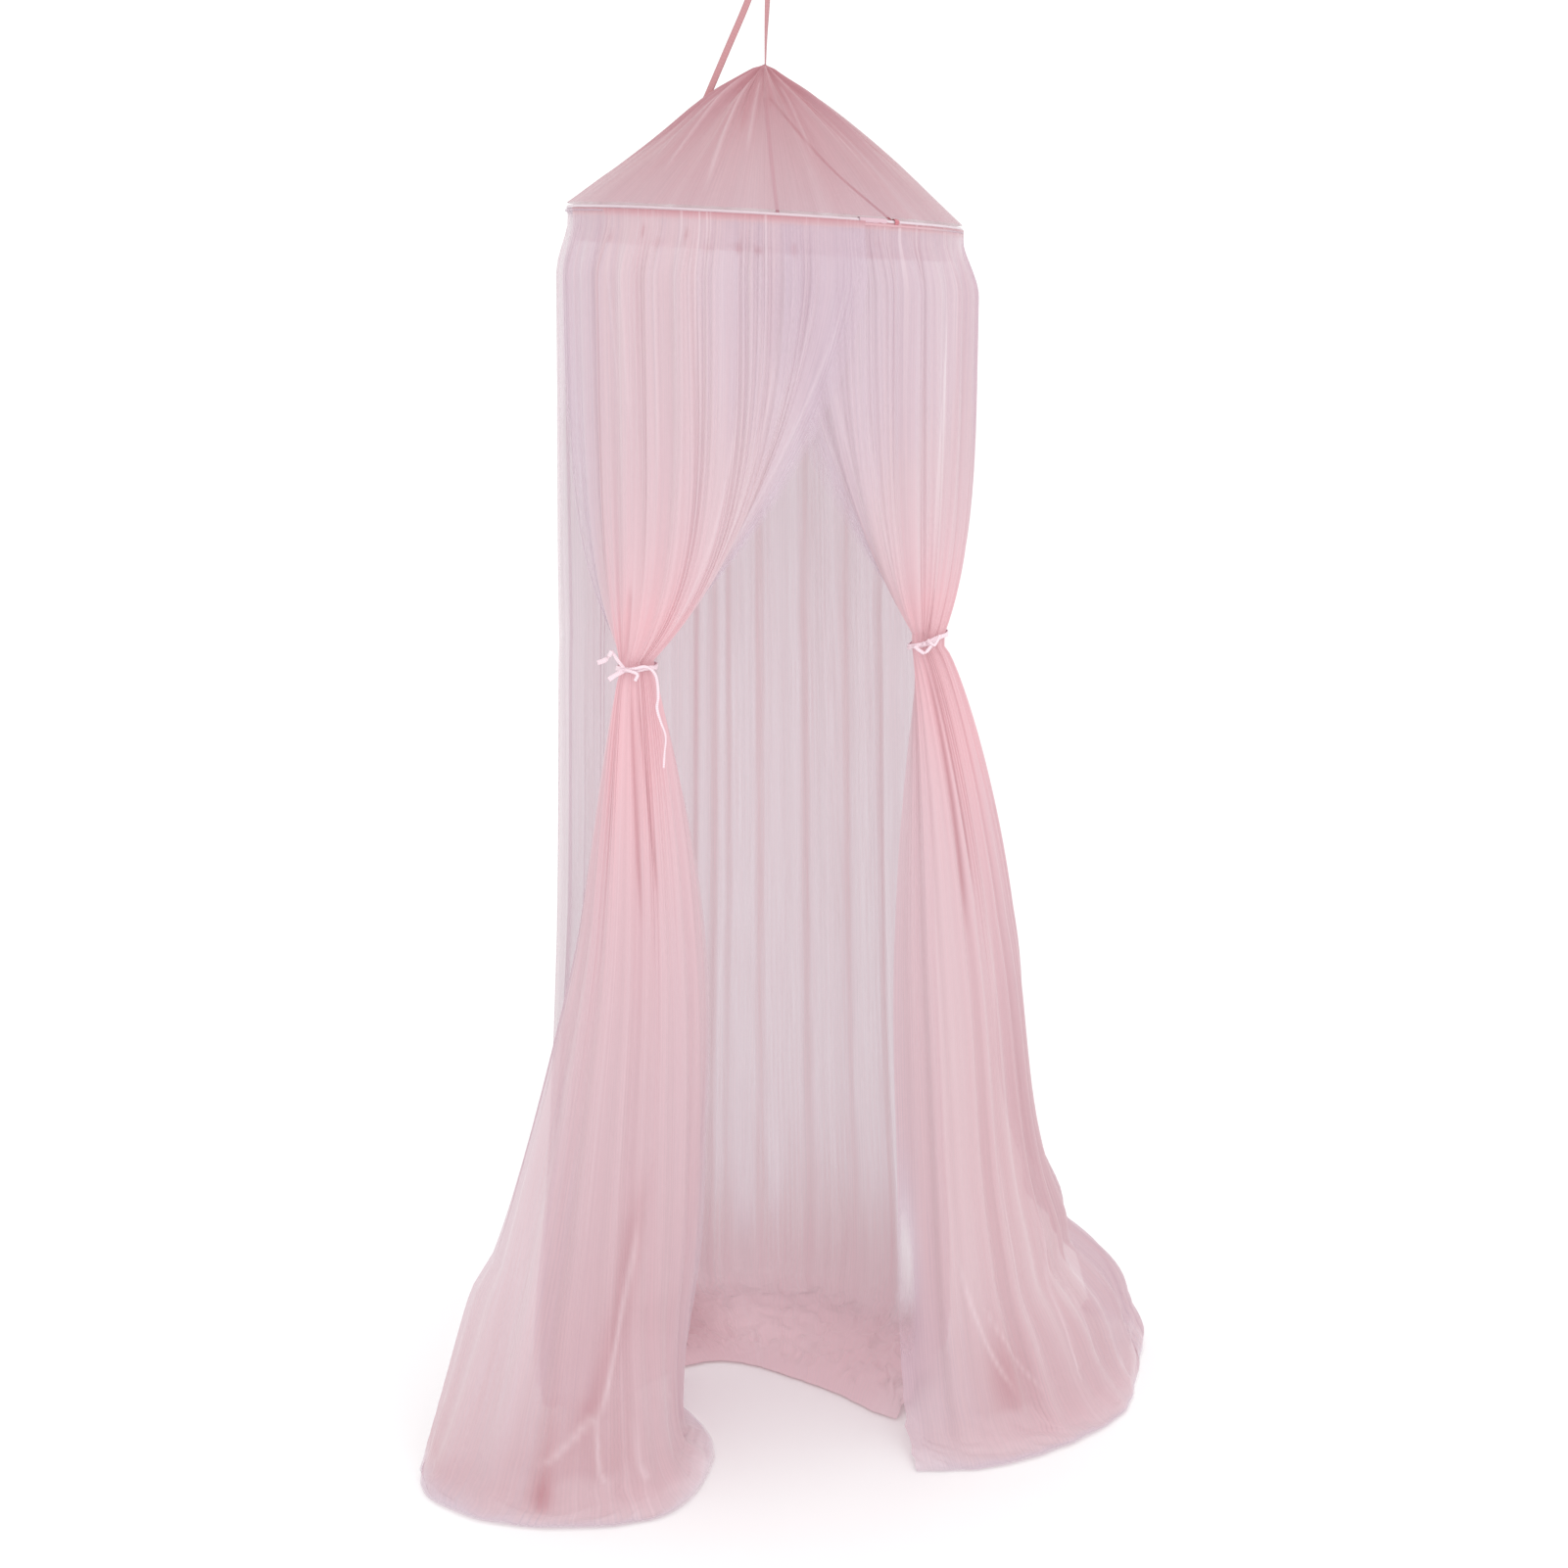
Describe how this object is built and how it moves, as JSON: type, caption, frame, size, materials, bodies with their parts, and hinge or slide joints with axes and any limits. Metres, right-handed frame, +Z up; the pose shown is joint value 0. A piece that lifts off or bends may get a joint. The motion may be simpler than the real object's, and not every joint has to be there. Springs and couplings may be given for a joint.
{
  "type": "mosquito net canopy with hoop",
  "caption": "Pink tulle bed canopy hung from one strap, with a round hoop, a gathered top, a long net skirt open in front and two ribbon ties.",
  "frame": {"origin": "top of the strap's loop, where the canopy hangs from a hook", "axes": "+Z up, -Y towards the doorway between the two tied panels, +X to the right as seen from the front"},
  "size_m": [1.2702, 0.8381, 2.375],
  "materials": {
    "net": "sheer polyester tulle",
    "net_trim": "woven polyester tape",
    "hoop_plastic": "satin moulded plastic",
    "strap": "folded net strap",
    "satin_ribbon": "satin"
  },
  "bodies": {
    "root": {"net_cone": "net", "net_back_panel": "net", "net_left_panel": "net", "net_right_panel": "net", "heading_band": "net", "hoop_casing": "net_trim", "support_tape_front": "net_trim", "support_tape_back": "net_trim", "hoop": "hoop_plastic", "hoop_sleeve": "hoop_plastic", "hanging_strap": "strap", "tie_left": "satin_ribbon", "tie_right": "satin_ribbon"}
  },
  "joints": []
}
